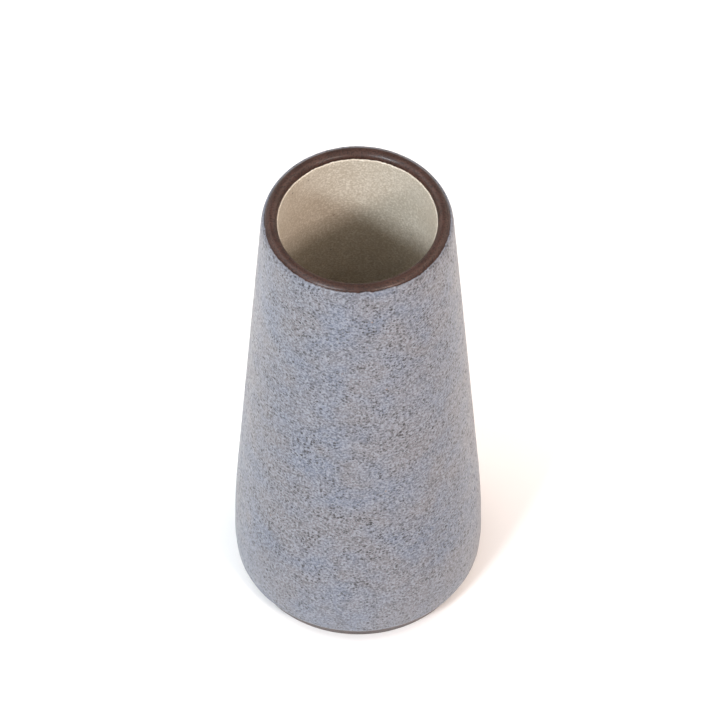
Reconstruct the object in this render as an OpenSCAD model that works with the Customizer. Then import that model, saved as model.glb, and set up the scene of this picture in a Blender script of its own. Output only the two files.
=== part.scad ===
// Tapered bud vase: one thrown stoneware body that carries two fired coats of glaze.
// The vase turns about Z, stands on Z = 0 and has its mouth at the top. Sizes are in millimetres.

/* [Vase] */
// Height from the foot face to the crest of the rim
vase_h = 161; // [130:1:195]
// Widest diameter, measured over the outer glaze
belly_d = 75; // [68:0.5:84]
// Height of the widest point
belly_z = 12; // [9:0.5:16]
// Lean of the outer wall from upright, in degrees
wall_lean = 3.95; // [3.7:0.05:4.2]

/* [Rim] */
// Diameter of the circle that the crest of the rim makes
crest_d = 50.8; // [49.6:0.1:51.6]
// Radius of the rounded crest
crest_r = 1.9; // [1.6:0.05:2.2]
// Radius of the shoulder that rolls the outer wall in to the crest
shoulder_r = 6; // [5:0.5:9]

/* [Foot] */
// Radius of the wall where it turns in below its widest point
turn_in_r = 36; // [24:1:60]
// Diameter of the foot where it meets the table
foot_d = 68.2; // [64:0.1:71]
// Height of the trimmed slope between the foot and the outer glaze
foot_slope_h = 6.3; // [4.5:0.1:8]
// Width of the flat ring that the vase rests on
foot_ring_w = 6.5; // [4:0.5:12]
// Depth of the shallow recess inside the foot ring
foot_recess = 1.2; // [0.6:0.1:2]

/* [Inside] */
// Lean of the inner wall from upright, in degrees
bore_lean = 3.6; // [3.3:0.1:3.8]
// Height of the clay floor inside
floor_z = 7; // [5:0.5:10]
// Radius of the corner between the inner wall and the floor
floor_corner_r = 9; // [5:0.5:14]

/* [Glaze] */
// Thickness of the outer glaze
glaze_t = 0.45; // [0.3:0.05:0.6]
// Bare clay left between the crest and the outer glaze, measured down
glaze_gap = 1; // [0.9:0.1:5]
// Thickness of the liner glaze
liner_t = 0.35; // [0.25:0.05:0.5]
// Bare clay left between the crest and the liner glaze, measured down
liner_gap = 1.4; // [0.8:0.1:1.6]

/* [Hidden] */
turn_fn = 180;
belly_arc_r = 390;
foot_edge = 0.4;
clay_colour = [0.33, 0.25, 0.22];
glaze_colour = [0.62, 0.64, 0.71];
liner_colour = [0.80, 0.76, 0.68];

// Points of an arc in the profile plane, from angle a to angle b
function arc(centre, r, a, b, steps) =
    [for (i = [0:steps]) centre + r * direction(a + (b - a) * i / steps)];

// Unit vector at an angle in the profile plane
function direction(angle) = [cos(angle), sin(angle)];

// Angle on an arc at which it reaches a height
function arc_angle(centre, r, z) = asin((z - centre[1]) / r);

// Points of a list in the opposite order
function backwards(points) = [for (i = [len(points) - 1:-1:0]) points[i]];

// Outer wall: a turn-in arc, a long belly arc, a straight stretch, then the shoulder arc, each tangent
// to the next
wall_normal = direction(wall_lean);
wall_along = direction(wall_lean + 90);
turn_c = [belly_d / 2 - glaze_t - turn_in_r, belly_z];
belly_c = [belly_d / 2 - glaze_t - belly_arc_r, belly_z];
crest_c = [crest_d / 2, vase_h - crest_r];
shoulder_in = wall_normal * belly_c + belly_arc_r - shoulder_r;
crest_reach = shoulder_r - crest_r;
crest_off = shoulder_in - wall_normal * crest_c;
shoulder_up = wall_along * crest_c - sqrt(crest_reach * crest_reach - crest_off * crest_off);
shoulder_c = shoulder_in * wall_normal + shoulder_up * wall_along;
crest_join = atan2(crest_c[1] - shoulder_c[1], crest_c[0] - shoulder_c[0]);
glaze_low = arc_angle(turn_c, turn_in_r, foot_slope_h);
glaze_high = min(crest_join, arc_angle(shoulder_c, shoulder_r, vase_h - glaze_gap));

// Inner wall: a straight bore tangent to the crest, and a corner arc that runs out on to the floor
bore_normal = direction(bore_lean);
bore_in = bore_normal * crest_c - crest_r;
corner_z = floor_z + floor_corner_r;
corner_x = (bore_in - floor_corner_r - bore_normal[1] * corner_z) / bore_normal[0];
corner_c = [corner_x, corner_z];
liner_high = 180 - arc_angle(crest_c, crest_r, vase_h - liner_gap);

// Glazed stretch of the outer wall, from the foot up, moved outwards by a thickness
function glazed_wall(out) = concat(
    arc(turn_c, turn_in_r + out, glaze_low, 0, 5),
    arc(belly_c, belly_arc_r + out, wall_lean / 10, wall_lean, 9),
    arc(shoulder_c, shoulder_r + out, wall_lean, glaze_high, 8));

// Glazed stretch of the inside, from its edge on the crest down to the middle of the floor, moved inwards
function lined_bore(in) = concat(
    arc(crest_c, crest_r + in, liner_high, 180 + bore_lean, 4),
    arc(corner_c, floor_corner_r - in, bore_lean, -90, 14),
    [[0, floor_z + in]]);

// Bare rim, from the outer glaze up to the crest and over to the edge of the liner glaze
function bare_rim() = concat(
    arc(shoulder_c, shoulder_r, glaze_high, crest_join, 2),
    arc(crest_c, crest_r, crest_join, 90, 8),
    arc(crest_c, crest_r, 90, liner_high, 9));

// Underside, from the middle of the recess out over the foot ring to the trimmed slope
function underside() = [
    [0, foot_recess],
    [foot_d / 2 - foot_ring_w - foot_recess, foot_recess],
    [foot_d / 2 - foot_ring_w, 0],
    [foot_d / 2 - foot_edge, 0],
    [foot_d / 2, foot_edge]];

module turned(points) {
    rotate_extrude($fn = turn_fn) polygon(points);
}

// Body with its bare rim and bare foot
module clay_body() {
    color(clay_colour)
        turned(concat(underside(), glazed_wall(0), bare_rim(), lined_bore(0)));
}

// Coat on the outer wall, which stops short of the rim and of the foot
module outer_glaze() {
    color(glaze_colour)
        turned(concat(glazed_wall(glaze_t), backwards(glazed_wall(0))));
}

// Coat on the inner wall and the floor, which stops just below the rim
module liner_glaze() {
    color(liner_colour)
        turned(concat(lined_bore(0), backwards(lined_bore(liner_t))));
}

clay_body();
outer_glaze();
liner_glaze();
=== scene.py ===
"""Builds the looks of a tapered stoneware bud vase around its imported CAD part: the thrown body, the
speckled outer coat, the pale liner coat, and a small studio to see them in. Lengths are in metres, in
the part's frame."""

import math

import bpy
import numpy as np
from mathutils import Euler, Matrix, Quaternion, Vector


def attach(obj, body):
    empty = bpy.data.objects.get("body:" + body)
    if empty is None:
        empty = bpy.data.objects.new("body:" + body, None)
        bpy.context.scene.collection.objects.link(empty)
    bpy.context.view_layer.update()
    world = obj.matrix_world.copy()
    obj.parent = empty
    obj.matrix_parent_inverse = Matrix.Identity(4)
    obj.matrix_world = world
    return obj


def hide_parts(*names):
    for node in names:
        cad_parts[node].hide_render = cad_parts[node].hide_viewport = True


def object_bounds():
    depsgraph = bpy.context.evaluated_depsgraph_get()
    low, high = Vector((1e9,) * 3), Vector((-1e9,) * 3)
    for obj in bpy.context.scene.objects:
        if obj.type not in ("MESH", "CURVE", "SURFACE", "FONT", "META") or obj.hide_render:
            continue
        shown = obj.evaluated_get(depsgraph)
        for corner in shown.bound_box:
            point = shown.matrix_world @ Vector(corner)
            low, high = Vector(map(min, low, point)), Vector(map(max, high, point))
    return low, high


bl_info = {
    "name": "Bud vase",
    "version": (1, 0, 0),
    "blender": (4, 5, 0),
    "location": "View3D > Sidebar > Bud vase",
    "description": "Throws, glazes and stages a speckled stoneware bud vase",
    "category": "Add Mesh",
}

# Points in each row round the body and round a coat, the reach of the small fan that closes each pole, and
# half the width of the paper.
BODY_COLUMNS = 480
COAT_COLUMNS = 640
POLE_REACH = 0.0012
PAPER_HALF = 4.0

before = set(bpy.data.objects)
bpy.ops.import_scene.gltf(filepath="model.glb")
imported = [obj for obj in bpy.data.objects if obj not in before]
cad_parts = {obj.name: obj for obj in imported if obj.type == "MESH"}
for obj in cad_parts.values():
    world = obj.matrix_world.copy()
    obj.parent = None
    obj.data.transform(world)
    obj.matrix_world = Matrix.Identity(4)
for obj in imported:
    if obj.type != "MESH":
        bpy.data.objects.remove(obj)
CAD_LOW, CAD_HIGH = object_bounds()


# ---------------------------------------------------------------- settings


def length(name, default, text):
    """A length setting in metres."""
    return bpy.props.FloatProperty(name=name, description=text, default=default, unit="LENGTH", precision=5)


def lean(name, degrees, text):
    """An angle setting, given in degrees and kept in radians."""
    return bpy.props.FloatProperty(
        name=name, description=text, default=math.radians(degrees), subtype="ANGLE", unit="ROTATION"
    )


def share(name, default, text):
    """A setting from 0 to 1."""
    return bpy.props.FloatProperty(
        name=name, description=text, default=default, min=0, max=1, subtype="FACTOR"
    )


def colour(name, default, text):
    """A linear colour setting."""
    return bpy.props.FloatVectorProperty(
        name=name, description=text, default=default, size=3, min=0, max=1, subtype="COLOR"
    )


class VaseShape(bpy.types.PropertyGroup):
    """Sizes of the thrown body and of the coats on it. The height comes from the CAD box."""

    belly_width: length("Belly width", 0.075, "Widest diameter, over the outer coat")
    belly_height: length("Belly height", 0.012, "Height of the widest point")
    belly_round: length("Belly round", 0.390, "Radius of the long curve of the lower wall")
    wall_lean: lean("Wall lean", 3.95, "Lean of the outer wall from upright")
    crest_width: length("Crest width", 0.0508, "Diameter of the circle along the top of the lip")
    crest_round: length("Crest round", 0.0019, "Radius of the rounded lip")
    shoulder_round: length("Shoulder round", 0.006, "Radius of the turn from the wall to the lip")
    turn_in: length("Turn-in", 0.036, "Radius of the wall where it turns in below its widest point")
    foot_width: length("Foot width", 0.0682, "Diameter of the foot on the table")
    foot_slope: length("Foot slope", 0.0057, "Height of the bare slope above the foot")
    foot_ring: length("Foot ring", 0.0065, "Width of the ring that the vase rests on")
    foot_recess: length("Foot recess", 0.0012, "Depth of the hollow inside the foot ring")
    bore_lean: lean("Bore lean", 3.6, "Lean of the inner wall from upright")
    floor_height: length("Floor height", 0.007, "Height of the clay floor inside")
    floor_round: length("Floor round", 0.009, "Radius between the inner wall and the floor")
    coat_thick: length("Coat thickness", 0.00045, "Thickness of the outer coat")
    coat_gap: length("Coat gap", 0.001, "Drop from the crest to the edge of the outer coat")
    liner_thick: length("Liner thickness", 0.00035, "Thickness of the liner coat")
    liner_gap: length("Liner gap", 0.0014, "Drop from the crest to the edge of the liner coat")
    sink: length("Sink", 0.00012, "How far the hidden side of a coat lies inside the clay")
    waver: length("Waver", 0.00006, "How far a hand-thrown wall strays from a true circle")


class VaseFinish(bpy.types.PropertyGroup):
    """Colours and roughness of the clay and the two coats."""

    clay_dark: colour("Dark clay", (0.038, 0.0175, 0.0125), "Fired body clay")
    clay_warm: colour("Warm clay", (0.064, 0.031, 0.024), "Reddish parts of the body clay")
    clay_pit: colour("Clay pits", (0.012, 0.007, 0.006), "Small dark pits in the body clay")
    glaze_blue: colour("Blue glaze", (0.108, 0.129, 0.182), "Cool parts of the outer coat")
    glaze_rose: colour("Rose glaze", (0.139, 0.132, 0.146), "Warm parts of the outer coat")
    # This pale colour also lays painted bounce light towards the foot, and a painted highlight along the
    # coat's lower edge.
    pale_flecks_and_painted_light: colour("Pale glaze", (0.228, 0.242, 0.278), "Thin light flecks in the outer coat")
    speck_dark: colour("Dark speck", (0.011, 0.010, 0.011), "Iron specks in the outer coat")
    speck_rust: colour("Rust speck", (0.19, 0.13, 0.10), "Tan and rust specks in both coats")
    liner_cream: colour("Liner cream", (0.610, 0.560, 0.482), "Body of the liner coat")
    liner_sand: colour("Liner sand", (0.470, 0.412, 0.328), "Darker parts of the liner coat")
    liner_pale: colour("Liner flecks", (0.76, 0.71, 0.62), "Small light flecks in the liner coat")
    glaze_rough: share("Glaze roughness", 0.34, "Roughness of the outer coat")
    liner_rough: share("Liner roughness", 0.45, "Roughness of the liner coat")
    clay_rough: share("Clay roughness", 0.34, "Roughness of the fired clay")


class VaseStudio(bpy.types.PropertyGroup):
    """Camera, lamps and surroundings."""

    lens: bpy.props.FloatProperty(name="Lens", description="Focal length", default=450, unit="CAMERA")
    camera_side: length("Camera side", 0.00068, "How far the camera stands to the right of the vase")
    camera_back: length("Camera back", 1.6373, "How far the camera stands in front of the vase")
    camera_up: length("Camera height", 2.2201, "Height of the camera")
    camera_pitch: lean("Camera pitch", 52.417, "How far the camera looks down from level")
    camera_roll: lean("Camera roll", -0.117, "Turn of the camera about its own line of sight")
    lamp_far: length("Lamp distance", 1.2, "Distance of each softbox from the vase")
    lamp_power: bpy.props.FloatProperty(name="Lamp power", description="Watts of a full softbox", default=8)
    walls: share("Walls", 0.50, "Brightness of the studio walls at table height")
    ceiling: share("Ceiling", 0.40, "Brightness of the ceiling")
    table_tone: colour("Table", (0.96, 0.96, 0.965), "Paper that the vase stands on")


def settings():
    """The three groups of settings of the scene."""
    scene = bpy.context.scene
    return scene.vase_shape, scene.vase_finish, scene.vase_studio


# ---------------------------------------------------------------- curves


def bearing(angle):
    """Unit vectors (cosine, sine) in the profile plane."""
    return np.stack([np.cos(angle), np.sin(angle)], -1)


def arc(centre, radius, start, stop, count=200):
    """Points on a circle of the profile plane: centre plus radius times bearing, from start to stop."""
    return centre + radius * bearing(np.linspace(start, stop, count))


def line(start, stop, count=60):
    """Points on a straight stretch of the profile plane, from start to stop."""
    return np.linspace(start, stop, count)


def skin_of_clay(shape):
    """Profile of the bare body, from the middle of the underside out, up, over the lip and down to the
    middle of the floor, with the distances along it of its landmarks. Above the foot slope each arc is
    tangent to the next: the turn-in, the belly, a straight wall, the shoulder, the crest, a straight
    bore and the floor arc."""
    top = CAD_HIGH.z
    wall, up = bearing(shape.wall_lean), bearing(shape.wall_lean + math.pi / 2)
    belly = np.array([shape.belly_width / 2 - shape.coat_thick - shape.belly_round, shape.belly_height])
    crest = np.array([shape.crest_width / 2, top - shape.crest_round])
    inset = wall @ belly + shape.belly_round - shape.shoulder_round
    reach = shape.shoulder_round - shape.crest_round
    rise = up @ crest - math.sqrt(reach**2 - (inset - wall @ crest) ** 2)
    shoulder = inset * wall + rise * up
    join = math.atan2(crest[1] - shoulder[1], crest[0] - shoulder[0])
    bore = bearing(shape.bore_lean)
    corner_z = shape.floor_height + shape.floor_round
    corner_x = (bore @ crest - shape.crest_round - shape.floor_round - bore[1] * corner_z) / bore[0]
    foot, ring, edge = shape.foot_width / 2, shape.foot_ring, 0.0003
    turn_in = np.array([shape.belly_width / 2 - shape.coat_thick - shape.turn_in, shape.belly_height])
    slope_angle = math.asin((shape.foot_slope - turn_in[1]) / shape.turn_in)
    slope_top = turn_in + shape.turn_in * bearing(slope_angle)
    foot_turn = arc(np.array([foot - edge, edge]), edge, -math.pi / 2, -0.4, 16)
    runs = [
        np.array([[0, shape.foot_recess]]),
        line([foot - ring - 2.2 * shape.foot_recess, shape.foot_recess], [foot - ring - edge, edge / 2]),
        arc(np.array([foot - ring + edge, edge]), edge, -math.pi * 0.72, -math.pi / 2, 12),
        foot_turn,
        line(foot_turn[-1], slope_top),
        arc(turn_in, shape.turn_in, slope_angle, 0),
        arc(belly, shape.belly_round, 0, shape.wall_lean),
        arc(shoulder, shape.shoulder_round, shape.wall_lean, join),
        arc(crest, shape.crest_round, join, math.pi + shape.bore_lean),
        arc(np.array([corner_x, corner_z]), shape.floor_round, shape.bore_lean, -math.pi / 2),
        np.array([[0, shape.floor_height]]),
    ]
    curve = np.concatenate(runs)
    keep = np.concatenate([[True], np.hypot(*np.diff(curve, axis=0).T) > 1e-9])
    curve = curve[keep]
    along = np.concatenate([[0], np.cumsum(np.hypot(*np.diff(curve, axis=0).T))])
    crest_at = along[np.argmax(curve[:, 1])]
    outside, inside = along <= crest_at, along >= crest_at
    marks = {
        "slope": np.interp(shape.foot_slope, curve[outside, 1], along[outside]),
        "coat": np.interp(top - shape.coat_gap, curve[outside, 1], along[outside]),
        "liner": np.interp(shape.liner_gap - top, -curve[inside, 1], along[inside]),
        "end": along[-1],
    }
    return curve, along, marks


def stray(shape, turn, point):
    """How far the thrown wall strays outwards at a turn and a profile point: two and three slow waves
    round the vase, and the soft rings that fingers leave as the wall is pulled up. It fades out at the
    poles and the foot."""
    r, z = point[..., 0], point[..., 1]
    slow = 0.7 * np.cos(2 * turn + 1.1 + 9 * z) + 0.4 * np.cos(3 * turn - 0.6 + 14 * z)
    rings = 0.35 * np.sin(z / 0.0015 + 0.8 * np.sin(turn + 30 * z)) * np.sin(z / 0.011 + 1) ** 2
    fade = np.clip(r / 0.012, 0, 1) ** 2 * np.clip(z / 0.008, 0, 1) ** 2
    return shape.waver * (slow + rings) * fade


def ragged(turn, seed, waves, size, fall=0.9):
    """A hand-made edge round the vase: a sum of waves whose size falls off with their number, each with
    its own seeded phase, scaled so that its typical size is the one asked for."""
    rng = np.random.default_rng(seed)
    number = np.arange(2, waves)
    heft = rng.uniform(0.4, 1, len(number)) / number**fall
    phase = rng.uniform(0, 2 * math.pi, (len(number), 1))
    wave = (heft[:, None] * np.cos(number[:, None] * turn + phase)).sum(0)
    return size * wave / wave.std()


def laid_on(shape, skin, steps, lift, turn):
    """Surface points on the clay: at each distance along the profile and each turn, the skin's point
    moved along its outward normal by the stray of the wall and by lift."""
    curve, along, _ = skin
    point = np.stack([np.interp(steps, along, curve[:, k]) for k in (0, 1)], -1)
    slant = np.gradient(curve, along, axis=0)
    slant = np.stack([np.interp(steps, along, slant[:, k]) for k in (0, 1)], -1)
    slant /= np.maximum(np.hypot(slant[..., 0], slant[..., 1]), 1e-9)[..., None]
    out = np.stack([slant[..., 1], -slant[..., 0]], -1)
    moved = point + out * (stray(shape, turn, point) + lift)[..., None]
    r = np.maximum(moved[..., 0], 0)
    return np.stack([r * np.cos(turn), r * np.sin(turn), moved[..., 1]], -1)


def shell(name, rows, values, poles=None):
    """A closed mesh from rows of points that each run once round the vase. Rows join to a ring of their
    own when there are no poles; otherwise the first and last rows close on the two pole points. Values
    are per-point attributes of the same grid."""
    high, wide = rows.shape[:2]
    points = rows.reshape(-1, 3)
    row, col = np.meshgrid(np.arange(high if poles is None else high - 1), np.arange(wide), indexing="ij")
    nxt, right = (row + 1) % high, (col + 1) % wide
    corners = [row * wide + col, row * wide + right, nxt * wide + right, nxt * wide + col]
    quads = np.stack(corners, -1).reshape(-1, 4)
    loops, starts = quads.ravel(), np.arange(len(quads)) * 4
    if poles is not None:
        points = np.concatenate([points, np.array(poles, float)])
        low, top = high * wide, high * wide + 1
        ring = np.arange(wide)
        first = np.stack([np.full(wide, low), (ring + 1) % wide, ring], -1)
        last = (high - 1) * wide
        final = np.stack([np.full(wide, top), last + ring, last + (ring + 1) % wide], -1)
        fans = np.concatenate([first, final])
        starts = np.concatenate([starts, len(loops) + np.arange(len(fans)) * 3])
        loops = np.concatenate([loops, fans.ravel()])
    mesh = bpy.data.meshes.new(name)
    mesh.vertices.add(len(points))
    mesh.vertices.foreach_set("co", points.astype(np.float32).ravel())
    mesh.loops.add(len(loops))
    mesh.loops.foreach_set("vertex_index", loops.astype(np.int32))
    mesh.polygons.add(len(starts))
    mesh.polygons.foreach_set("loop_start", starts.astype(np.int32))
    mesh.polygons.foreach_set("use_smooth", np.ones(len(starts), bool))
    for label, grid in values.items():
        kind = "FLOAT_VECTOR" if grid.ndim == 3 else "FLOAT"
        flat = grid.reshape(high * wide, -1)
        if poles is not None:
            flat = np.concatenate([flat, flat[:1], flat[-1:]])
        layer = mesh.attributes.new(label, kind, "POINT")
        key = "vector" if kind == "FLOAT_VECTOR" else "value"
        layer.data.foreach_set(key, flat.astype(np.float32).ravel())
    mesh.update(calc_edges=True)
    mesh.validate()
    piece = bpy.data.objects.new(name, mesh)
    bpy.context.scene.collection.objects.link(piece)
    return piece


def turned_values(turn, steps):
    """The grid that grooves and scratches follow: round the vase it moves ten times slower than along
    it."""
    wide = np.broadcast_to(turn, steps.shape)
    return np.stack([0.0025 * np.cos(wide), 0.0025 * np.sin(wide), steps], -1)


def bead(distance, size):
    """Rounded edge of a coat: a quarter circle from nothing at the edge to full thickness at size from
    it."""
    return np.sqrt(1 - (1 - np.clip(distance / size, 0, 1)) ** 2)


# ---------------------------------------------------------------- materials


class Finish:
    """A material under construction: short helpers that add one node each and return its output socket."""

    def __init__(self, name):
        self.material = bpy.data.materials.new(name)
        self.material.use_nodes = True
        self.tree = self.material.node_tree
        self.shader = self.tree.nodes["Principled BSDF"]
        self.place = self.add("ShaderNodeTexCoord").outputs["Object"]

    def add(self, kind, **inputs):
        """A node of a kind, with sockets linked or set by name."""
        node = self.tree.nodes.new(kind)
        for key, value in inputs.items():
            self.feed(node.inputs[key], value)
        return node

    def feed(self, socket, value):
        """Links an output to a socket, or sets the socket's own value."""
        if isinstance(value, bpy.types.NodeSocket):
            self.tree.links.new(value, socket)
        else:
            socket.default_value = (*value, 1.0) if hasattr(value, "__len__") and len(value) == 3 else value

    def value_of(self, label):
        """A stored value of the mesh."""
        node = self.add("ShaderNodeAttribute")
        node.attribute_name = label
        return node

    def noise(self, size, detail=2.0, rough=0.5, where=None):
        """Soft noise whose features are about that many metres wide."""
        node = self.add("ShaderNodeTexNoise", Vector=where or self.place, Scale=1 / size)
        node.inputs["Detail"].default_value, node.inputs["Roughness"].default_value = detail, rough
        return node.outputs["Fac"]

    def cells(self, size, where=None):
        """Scattered points about that many metres apart: the distance to the nearest in cells, and its
        own colour."""
        node = self.add("ShaderNodeTexVoronoi", Vector=where or self.place, Scale=1 / size)
        parts = self.add("ShaderNodeSeparateColor", Color=node.outputs["Color"])
        return node.outputs["Distance"], parts.outputs[0], parts.outputs[1], parts.outputs[2]

    def sum(self, how, a, b, c=None, clamp=False):
        """One step of arithmetic."""
        node = self.add("ShaderNodeMath")
        node.operation, node.use_clamp = how, clamp
        for socket, value in zip(node.inputs, (a, b, c)):
            if value is not None:
                self.feed(socket, value)
        return node.outputs[0]

    def scaled(self, value, low, high, start, stop):
        """Value carried from the range low..high to start..stop and held inside it."""
        node = self.add("ShaderNodeMapRange", Value=value)
        for socket, number in zip(("From Min", "From Max", "To Min", "To Max"), (low, high, start, stop)):
            self.feed(node.inputs[socket], number)
        return node.outputs["Result"]

    def blend(self, share_of, a, b):
        """Colour a with colour b laid over it by a share."""
        node = self.add("ShaderNodeMix")
        node.data_type = "RGBA"
        self.feed(node.inputs["Factor"], share_of)
        self.feed(node.inputs[6], a)
        self.feed(node.inputs[7], b)
        return node.outputs[2]

    def specks(self, size, least, most, soft, chance, where=None):
        """Round specks: in each cell of that size, a spot whose radius runs from least to most of the
        cell and whose edge is soft. Only a share of the cells, chance, has one. Returns the spot's
        cover and a per-spot number."""
        distance, a, b, c = self.cells(size, where)
        radius = self.scaled(self.sum("MULTIPLY", a, a), 0, 1, least, most)
        cover = self.sum("DIVIDE", self.sum("SUBTRACT", radius, distance), soft, clamp=True)
        present = self.sum("LESS_THAN", b, chance)
        return self.sum("MULTIPLY", cover, present), c

    def bumps(self, *layers):
        """Bump from (height, metres) layers, finest last."""
        normal = None
        for height, metres in layers:
            node = self.add("ShaderNodeBump", Height=height, Distance=metres)
            node.inputs["Strength"].default_value = 1.0
            if normal is not None:
                self.feed(node.inputs["Normal"], normal)
            normal = node.outputs["Normal"]
        self.feed(self.shader.inputs["Normal"], normal)


def speckled_glaze(finish):
    """Satin blue-grey glaze: cool and rose clouds, small pale flecks, clustered iron specks and a few rust
    ones.
    It is painted paler near the foot as painted bounce light, and its lower edge has a pale line of thinned
    glaze and a painted highlight."""
    m = Finish("speckled_glaze")
    clouds = m.noise(0.028, 3)
    patches = m.noise(0.0040, 3, 0.6)
    grain = m.noise(0.00075, 2, 0.6)
    drifts = m.sum("MULTIPLY_ADD", m.noise(0.009, 2), 0.8, m.sum("SUBTRACT", clouds, 0.4))
    base = m.blend(m.scaled(drifts, 0.35, 0.65, 0, 1), finish.glaze_blue[:], finish.glaze_rose[:])
    base = m.blend(m.scaled(patches, 0.3, 0.75, 0, 0.35), base, finish.pale_flecks_and_painted_light[:])
    base = m.blend(m.scaled(grain, 0.47, 0.64, 0, 0.9), base, finish.pale_flecks_and_painted_light[:])
    base = m.blend(m.scaled(grain, 0.49, 0.36, 0, 0.38), base, finish.speck_dark[:])
    crowd = m.scaled(m.noise(0.0065, 2, 0.6), 0.38, 0.62, 0.55, 1)
    fine, fine_own = m.specks(0.00068, 0.28, 0.58, 0.15, 0.65)
    wide, wide_own = m.specks(0.00098, 0.30, 0.58, 0.10, 0.60)
    rust, _ = m.specks(0.0043, 0.04, 0.10, 0.05, 0.5)
    fine = m.sum("MULTIPLY", m.sum("MULTIPLY", fine, crowd), m.scaled(fine_own, 0, 1, 0.4, 1.0))
    wide = m.sum("MULTIPLY", m.sum("MULTIPLY", wide, crowd), m.scaled(wide_own, 0, 1, 0.7, 1.0))
    base = m.blend(fine, base, finish.speck_dark[:])
    base = m.blend(wide, base, finish.speck_dark[:])
    base = m.blend(rust, base, finish.speck_rust[:])
    height = m.add("ShaderNodeSeparateXYZ", Vector=m.place).outputs["Z"]
    # Painted bounce light: the coat is painted paler towards the foot, where light from the table falls on
    # it.
    base = m.blend(m.scaled(height, 0.004, 0.030, 0.26, 0), base, finish.pale_flecks_and_painted_light[:])
    # Pale line along the coat's edge: partly thinned glaze, partly a painted highlight on the lower bead.
    edge = m.value_of("edge").outputs["Fac"]
    thin_edge_and_highlight = m.scaled(m.sum("ADD", edge, m.scaled(grain, 0.3, 0.7, -0.0003, 0.0003)), 0.0002, 0.0010, 0.8, 0)
    base = m.blend(thin_edge_and_highlight, base, finish.pale_flecks_and_painted_light[:])
    m.feed(m.shader.inputs["Base Color"], base)
    rough = m.sum("ADD", m.scaled(patches, 0.3, 0.7, -0.07, 0.07), finish.glaze_rough)
    m.feed(m.shader.inputs["Roughness"], m.sum("ADD", rough, m.sum("MULTIPLY", wide, 0.15)))
    m.bumps((m.noise(0.0035, 2), 0.00006), (m.sum("SUBTRACT", grain, wide), 0.00003))
    return m.material


def cream_liner(finish):
    """Satin cream glaze: sandy clouds, fine light and dark mottling, faint rings, rust specks and dark
    pinholes."""
    m = Finish("liner_glaze")
    clouds = m.noise(0.014, 3)
    grain = m.noise(0.0006, 3, 0.65)
    rings = m.noise(0.0016, 2, 0.5, m.value_of("turned").outputs["Vector"])
    base = m.blend(m.scaled(clouds, 0.35, 0.65, 0, 0.6), finish.liner_cream[:], finish.liner_sand[:])
    base = m.blend(m.scaled(grain, 0.52, 0.38, 0, 0.9), base, finish.liner_sand[:])
    base = m.blend(m.scaled(rings, 0.35, 0.7, 0, 0.3), base, finish.liner_sand[:])
    base = m.blend(m.scaled(grain, 0.50, 0.64, 0, 0.8), base, finish.liner_pale[:])
    rust, rust_own = m.specks(0.0034, 0.04, 0.12, 0.05, 0.45)
    pins, _ = m.specks(0.0060, 0.03, 0.07, 0.02, 0.4)
    base = m.blend(m.sum("MULTIPLY", rust, m.scaled(rust_own, 0, 1, 0.2, 0.8)), base, finish.speck_rust[:])
    base = m.blend(pins, base, finish.speck_dark[:])
    m.feed(m.shader.inputs["Base Color"], base)
    rough = m.sum("ADD", m.scaled(grain, 0.3, 0.7, -0.07, 0.07), finish.liner_rough)
    m.feed(m.shader.inputs["Roughness"], rough)
    m.bumps((rings, 0.00005), (m.sum("SUBTRACT", grain, pins), 0.00003))
    return m.material


def bare_clay(finish):
    """Fired dark clay: red and brown clouds, scratches that run round with the wheel, dark pits and
    pale grog."""
    m = Finish("bare_clay")
    round_it = m.value_of("turned").outputs["Vector"]
    clouds = m.noise(0.007, 3, 0.6)
    scratch = m.noise(0.00022, 3, 0.6, round_it)
    grain = m.noise(0.0005, 2, 0.6)
    base = m.blend(m.scaled(clouds, 0.35, 0.68, 0, 1), finish.clay_dark[:], finish.clay_warm[:])
    base = m.blend(m.scaled(scratch, 0.5, 0.75, 0, 0.5), base, finish.clay_warm[:])
    base = m.blend(m.scaled(grain, 0.52, 0.40, 0, 0.8), base, finish.clay_pit[:])
    grog, grog_own = m.specks(0.0011, 0.10, 0.24, 0.08, 0.5)
    base = m.blend(m.sum("MULTIPLY", grog, m.scaled(grog_own, 0, 1, 0.05, 0.45)), base, finish.speck_rust[:])
    m.feed(m.shader.inputs["Base Color"], base)
    m.shader.inputs["Specular IOR Level"].default_value = 0.32
    rough = m.sum("ADD", m.scaled(scratch, 0.3, 0.7, -0.08, 0.08), finish.clay_rough)
    m.feed(m.shader.inputs["Roughness"], rough)
    m.bumps((scratch, 0.00003), (grain, 0.00004))
    return m.material


# ---------------------------------------------------------------- pieces


def turn_grid(count):
    """Turns round the vase, as one row of angles."""
    return np.arange(count)[None, :] * (2 * math.pi / count)


def finish_piece(piece, node, material):
    """Gives a piece its material, hangs it under the root body, and hides the CAD node that it stands for."""
    piece.data.materials.append(material)
    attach(piece, "root")
    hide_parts(node)


def spaced(start, stop, step):
    """Distances from start up to stop, about one step apart, without stop itself."""
    return np.linspace(start, stop, max(2, round((stop - start) / step)), endpoint=False)


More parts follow.
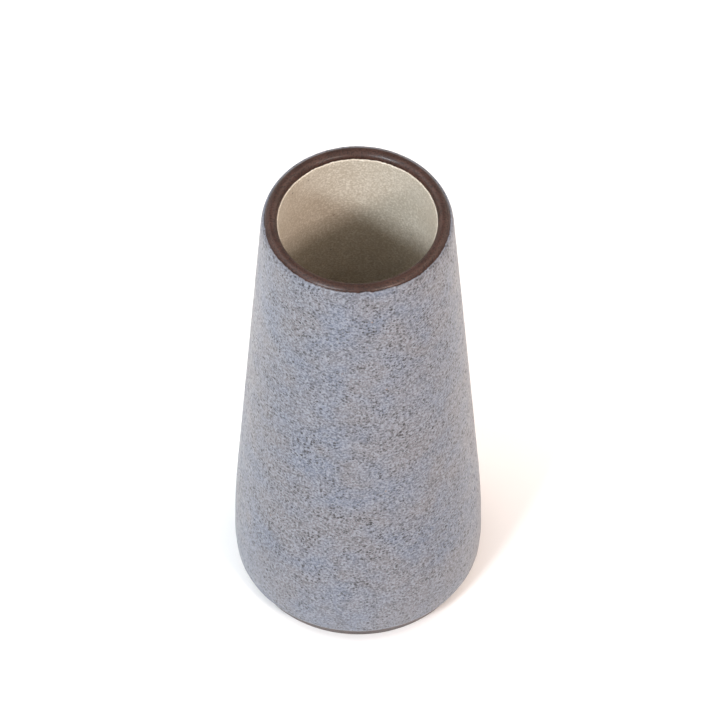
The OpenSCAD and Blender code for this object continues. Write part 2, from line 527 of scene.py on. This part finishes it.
class VASE_OT_body(bpy.types.Operator):
    """Throw the clay body, with its bare lip, its wall, its foot ring and its underside"""

    bl_idname = "vase.body"
    bl_label = "Throw the body"

    def execute(self, context):
        shape, finish, _ = settings()
        skin = skin_of_clay(shape)
        _, _, at = skin
        foot = at["slope"]
        steps = np.concatenate([
            spaced(POLE_REACH, foot - 0.017, 0.0008),
            spaced(foot - 0.017, foot + 0.001, 0.00025),
            spaced(foot + 0.001, at["coat"] - 0.001, 0.006),
            spaced(at["coat"] - 0.001, at["liner"] + 0.001, 0.00015),
            spaced(at["liner"] + 0.001, at["end"] - POLE_REACH, 0.006),
        ])[:, None]
        turn = turn_grid(BODY_COLUMNS)
        steps = np.broadcast_to(steps, (len(steps), BODY_COLUMNS))
        groove = np.sin(steps / 0.00017 + 0.5 * np.sin(turn)) * np.clip((foot - steps) / 0.004, 0, 1)
        dents = 0.00002 * np.sin(steps / 0.0004 + np.sin(3 * turn)) * np.sin(turn * 5 + steps / 0.002)
        rows = laid_on(shape, skin, steps, 0.000012 * groove + dents, turn)
        # The ring is rubbed flat, so its grooves and dents never reach below the table.
        rows[..., 2] = np.maximum(rows[..., 2], 0)
        poles = [(0, 0, shape.foot_recess), (0, 0, shape.floor_height)]
        piece = shell("thrown_body", rows, {"turned": turned_values(turn, steps)}, poles)
        finish_piece(piece, "clay_body", bare_clay(finish))
        return {"FINISHED"}


class VASE_OT_outer_coat(bpy.types.Operator):
    """Dip the outer wall in the speckled coat, from above the foot to below the lip"""

    bl_idname = "vase.outer_coat"
    bl_label = "Glaze the outside"

    def execute(self, context):
        shape, finish, _ = settings()
        skin = skin_of_clay(shape)
        _, _, at = skin
        turn = turn_grid(COAT_COLUMNS)
        low = at["slope"] + ragged(turn[0], 11, 90, 0.00010)
        high = at["coat"] - 0.0004 * np.cos(turn[0]) ** 2 + ragged(turn[0], 23, 200, 0.00011, 0.55)
        reach = at["coat"] - at["slope"]
        ends = np.array([0, 0.02, 0.06, 0.12, 0.2, 0.3, 0.42, 0.6, 0.85, 1.2, 1.7]) / 1000
        ends = ends / reach
        open_wall = np.linspace(ends[-1], 1 - ends[-1], 96)[1:-1]
        face = np.concatenate([ends, open_wall, (1 - ends)[::-1]])[:, None]
        back = face[::-1][np.r_[0, 6:len(face) - 6:6, len(face) - 1]]
        span = (high - low)[None, :]
        outer, inner = low + span * face, low + span * back
        from_low, from_high = outer - low, high - outer
        thick = shape.coat_thick * bead(from_low, 0.0005) * bead(from_high, 0.00045)
        drip = 0.00008 * np.exp(-(((from_low - 0.0009) / 0.0006) ** 2)) * (1 + ragged(turn[0], 5, 30, 0.4))
        rows = np.concatenate([
            laid_on(shape, skin, outer, thick + drip * bead(from_low, 0.0005), turn),
            laid_on(shape, skin, inner, np.full(inner.shape, -shape.sink), turn),
        ])
        # Distance from the nearer edge; the upper one counts from 0.7 mm, so only the lower one goes pale, as
        # thinned glaze with a painted highlight.
        edge = np.concatenate([np.minimum(from_low, from_high + 0.0007), np.zeros(inner.shape)])
        piece = shell("speckled_coat", rows, {"edge": edge})
        finish_piece(piece, "outer_glaze", speckled_glaze(finish))
        return {"FINISHED"}


class VASE_OT_liner_coat(bpy.types.Operator):
    """Pour the cream coat over the inner wall and the floor"""

    bl_idname = "vase.liner_coat"
    bl_label = "Glaze the inside"

    def execute(self, context):
        shape, finish, _ = settings()
        skin = skin_of_clay(shape)
        _, _, at = skin
        turn = turn_grid(COAT_COLUMNS)
        start = at["liner"] + 0.0005 + 0.0002 * (1 - np.sin(turn[0])) + ragged(turn[0], 37, 160, 0.00010, 0.5)
        stop = at["end"] - POLE_REACH
        reach = stop - at["liner"]
        ends = np.array([0, 0.02, 0.05, 0.1, 0.17, 0.26, 0.38, 0.55, 0.8, 1.2, 1.8]) / 1000 / reach
        face = np.concatenate([ends, np.linspace(ends[-1], 1, 98)[1:]])[:, None]
        back = face[::-1][np.r_[0:len(face) - 12:5, len(face) - 1]]
        span = (stop - start)[None, :]
        outer, inner = start + span * face, start + span * back
        thick = shape.liner_thick * bead(outer - start, 0.0004)
        swirl = 0.00010 * np.sin(outer / 0.0011 + turn) * np.clip((outer - at["liner"] - 0.09) / 0.05, 0, 1)
        rows = np.concatenate([
            laid_on(shape, skin, inner, np.full(inner.shape, -shape.sink), turn),
            laid_on(shape, skin, outer, thick + swirl, turn),
        ])
        steps = np.concatenate([inner, outer])
        poles = [(0, 0, shape.floor_height - shape.sink), (0, 0, shape.floor_height + shape.liner_thick)]
        piece = shell("liner_coat", rows, {"turned": turned_values(turn, steps)}, poles)
        finish_piece(piece, "liner_glaze", cream_liner(finish))
        return {"FINISHED"}


# ---------------------------------------------------------------- studio


# Softboxes: name, degrees to the right of the front, degrees above level, width in metres, share of full
# power, tint.
LAMPS = (
    ("front_left", -34, 36.5, 0.22, 1.07, (0.92, 1.00, 1.06)),
    ("front_right", 34, 36.5, 0.22, 0.72, (1.15, 0.97, 0.88)),
    ("side_left", -75, 60, 1.0, 0.46, (0.83, 1.03, 1.14)),
    ("side_right", 75, 60, 1.0, 0.40, (1.24, 0.94, 0.80)),
    ("back_left", -120, 40, 1.1, 0.58, (1.18, 0.97, 0.85)),
    ("back_right", 120, 40, 1.1, 0.46, (1.12, 1.00, 0.85)),
)


class VASE_OT_studio(bpy.types.Operator):
    """Set the vase on pale paper among softboxes, and stand the camera in front of it"""

    bl_idname = "vase.studio"
    bl_label = "Set the studio"

    def execute(self, context):
        _, _, studio = settings()
        self.lay_table(studio)
        self.hang_lamps(studio)
        self.paint_room(studio)
        self.stand_camera(studio)
        context.scene.view_settings.view_transform = "Standard"
        return {"FINISHED"}

    def lay_table(self, studio):
        """A wide level sheet of paper under the foot."""
        corners = [(x * PAPER_HALF, y * PAPER_HALF, 0) for x, y in ((-1, -1), (1, -1), (1, 1), (-1, 1))]
        mesh = bpy.data.meshes.new("table")
        mesh.from_pydata(corners, [], [(0, 1, 2, 3)])
        table = bpy.data.objects.new("table", mesh)
        bpy.context.scene.collection.objects.link(table)
        m = Finish("paper")
        m.shader.inputs["Base Color"].default_value = (*studio.table_tone, 1)
        m.shader.inputs["Roughness"].default_value = 0.9
        m.shader.inputs["Specular IOR Level"].default_value = 0.1
        mesh.materials.append(m.material)

    def hang_lamps(self, studio):
        """Six softboxes that face the vase: a small pair in front, and wide ones high at each side and
        behind. In front and at the sides the left ones are cooler than the right ones; both at the back
        are warm."""
        middle = CAD_HIGH.z / 2
        for name, turn, rise, wide, share_of, tint in LAMPS:
            lamp = bpy.data.lights.new(name, "AREA")
            lamp.shape, lamp.size = "SQUARE", wide
            lamp.energy, lamp.color = studio.lamp_power * share_of, tint
            stand = bpy.data.objects.new(name, lamp)
            turn, rise, far = math.radians(turn), math.radians(rise), studio.lamp_far
            level = far * math.cos(rise)
            stand.location = (level * math.sin(turn), -level * math.cos(turn), middle + far * math.sin(rise))
            stand.rotation_euler = (math.pi / 2 - rise, 0, turn)
            stand.visible_camera = False
            bpy.context.scene.collection.objects.link(stand)

    def paint_room(self, studio):
        """Pale studio walls and ceiling, as light from all round that changes slowly with height."""
        room = bpy.data.worlds.new("room")
        room.use_nodes = True
        tree = room.node_tree
        where = tree.nodes.new("ShaderNodeTexCoord")
        parts = tree.nodes.new("ShaderNodeSeparateXYZ")
        fade = tree.nodes.new("ShaderNodeValToRGB")
        stops = fade.color_ramp.elements
        stops[0].position, stops[1].position = 0.25, 0.6
        for stop, level in zip(stops, (studio.walls, studio.ceiling)):
            stop.color = (level, level, level, 1)
        tree.links.new(where.outputs["Generated"], parts.inputs[0])
        tree.links.new(parts.outputs["Z"], fade.inputs["Fac"])
        tree.links.new(fade.outputs["Color"], tree.nodes["Background"].inputs["Color"])
        bpy.context.scene.world = room

    def stand_camera(self, studio):
        """A long lens that looks down on the vase from in front."""
        lens = bpy.data.cameras.new("camera")
        lens.lens, lens.sensor_width, lens.clip_end = studio.lens, 36, 20
        camera = bpy.data.objects.new("camera", lens)
        camera.location = (studio.camera_side, -studio.camera_back, studio.camera_up)
        camera.rotation_mode = "QUATERNION"
        tilt = Euler((math.pi / 2 - studio.camera_pitch, 0, 0)).to_quaternion()
        camera.rotation_quaternion = tilt @ Quaternion((0, 0, 1), studio.camera_roll)
        bpy.context.scene.collection.objects.link(camera)
        bpy.context.scene.camera = camera


# ---------------------------------------------------------------- add-on


OPERATORS = (VASE_OT_body, VASE_OT_outer_coat, VASE_OT_liner_coat, VASE_OT_studio)
GROUPS = {"vase_shape": VaseShape, "vase_finish": VaseFinish, "vase_studio": VaseStudio}


class VASE_PT_bench(bpy.types.Panel):
    """The potter's bench: each step of the vase, and its settings"""

    bl_idname = "VASE_PT_bench"
    bl_label = "Bud vase"
    bl_space_type = "VIEW_3D"
    bl_region_type = "UI"
    bl_category = "Bud vase"

    def draw(self, context):
        for step in OPERATORS:
            self.layout.operator(step.bl_idname)
        for label in GROUPS:
            group = getattr(context.scene, label)
            box = self.layout.box()
            for key in group.bl_rna.properties.keys():
                if key not in ("rna_type", "name"):
                    box.prop(group, key)


def register():
    for cls in (*GROUPS.values(), *OPERATORS, VASE_PT_bench):
        bpy.utils.register_class(cls)
    for label, group in GROUPS.items():
        setattr(bpy.types.Scene, label, bpy.props.PointerProperty(type=group))


def unregister():
    for label in GROUPS:
        delattr(bpy.types.Scene, label)
    for cls in (VASE_PT_bench, *reversed(OPERATORS), *reversed(tuple(GROUPS.values()))):
        bpy.utils.unregister_class(cls)


def main():
    register()
    bpy.ops.vase.body()
    bpy.ops.vase.outer_coat()
    bpy.ops.vase.liner_coat()
    bpy.ops.vase.studio()


if __name__ == "__main__":
    main()
